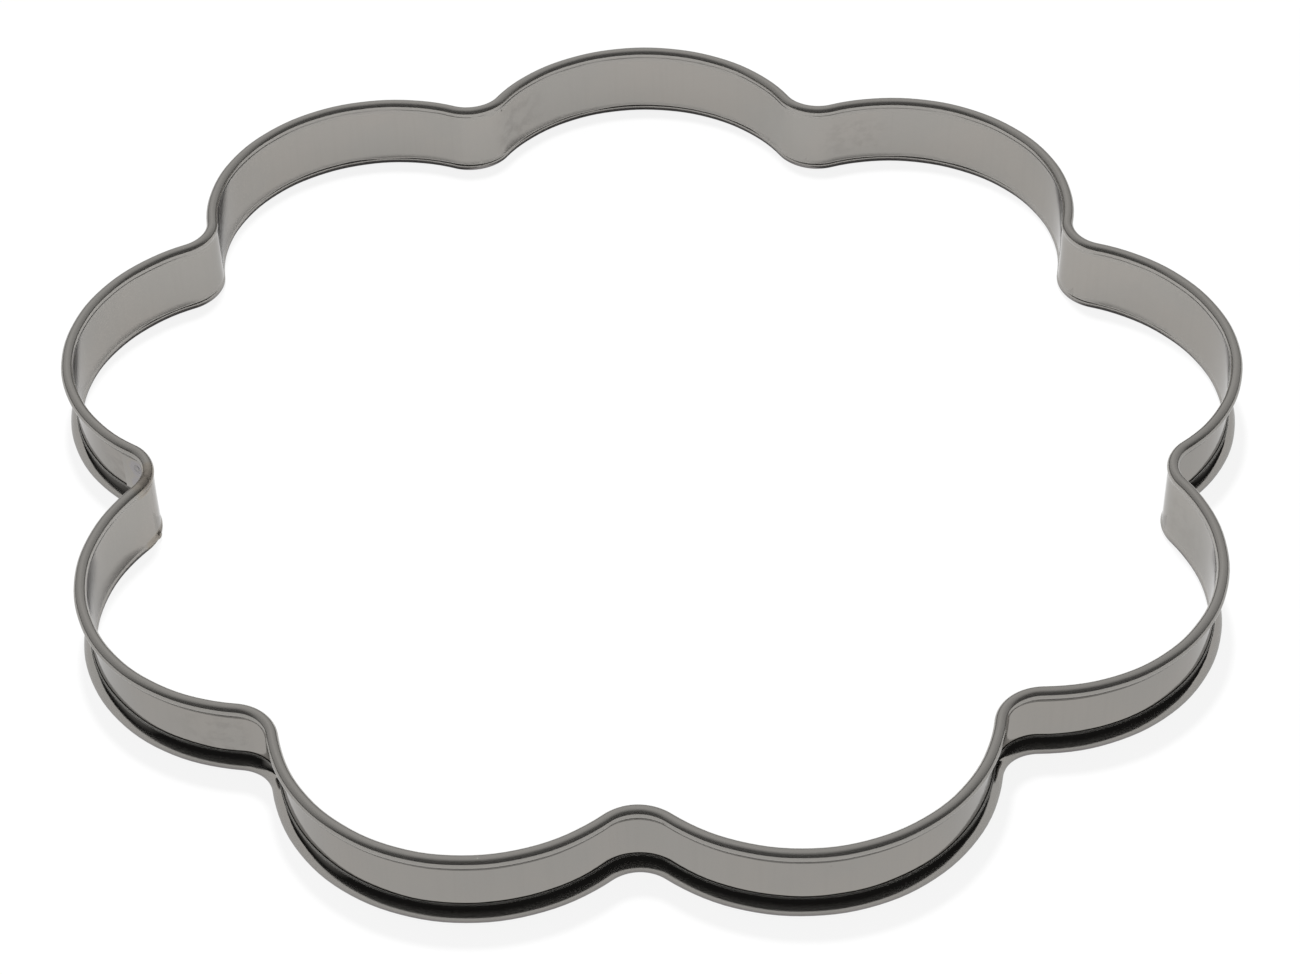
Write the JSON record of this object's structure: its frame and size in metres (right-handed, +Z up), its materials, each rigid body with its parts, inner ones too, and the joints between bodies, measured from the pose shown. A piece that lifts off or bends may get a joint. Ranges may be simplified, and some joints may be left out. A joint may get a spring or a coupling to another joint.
{
  "type": "flower tart ring",
  "caption": "Bottomless baking ring with a flower-shaped outline: a steel strip with rolled edges, bent into petals and joined in one valley.",
  "frame": {"origin": "centre of the outer box, on the surface that the lower rolled edge rests on", "axes": "+Z up through the open ring, -X towards the valley with the joint, +Y completes the right-handed frame"},
  "size_m": [0.2812, 0.2922, 0.02],
  "materials": {
    "polished_steel": "polished stainless sheet with faint draw lines and scuffs",
    "wire_steel": "bright drawn wire",
    "weld_metal": "heat-tinted weld, brown to blue"
  },
  "bodies": {
    "root": {"band": "polished_steel", "upper_edge_wire": "wire_steel", "lower_edge_wire": "wire_steel", "joint_strap": "polished_steel", "strap_spot_weld_1": "weld_metal", "strap_spot_weld_2": "weld_metal", "strap_spot_weld_3": "weld_metal", "strap_spot_weld_4": "weld_metal", "upper_butt_weld": "weld_metal", "lower_butt_weld": "weld_metal"}
  },
  "joints": []
}
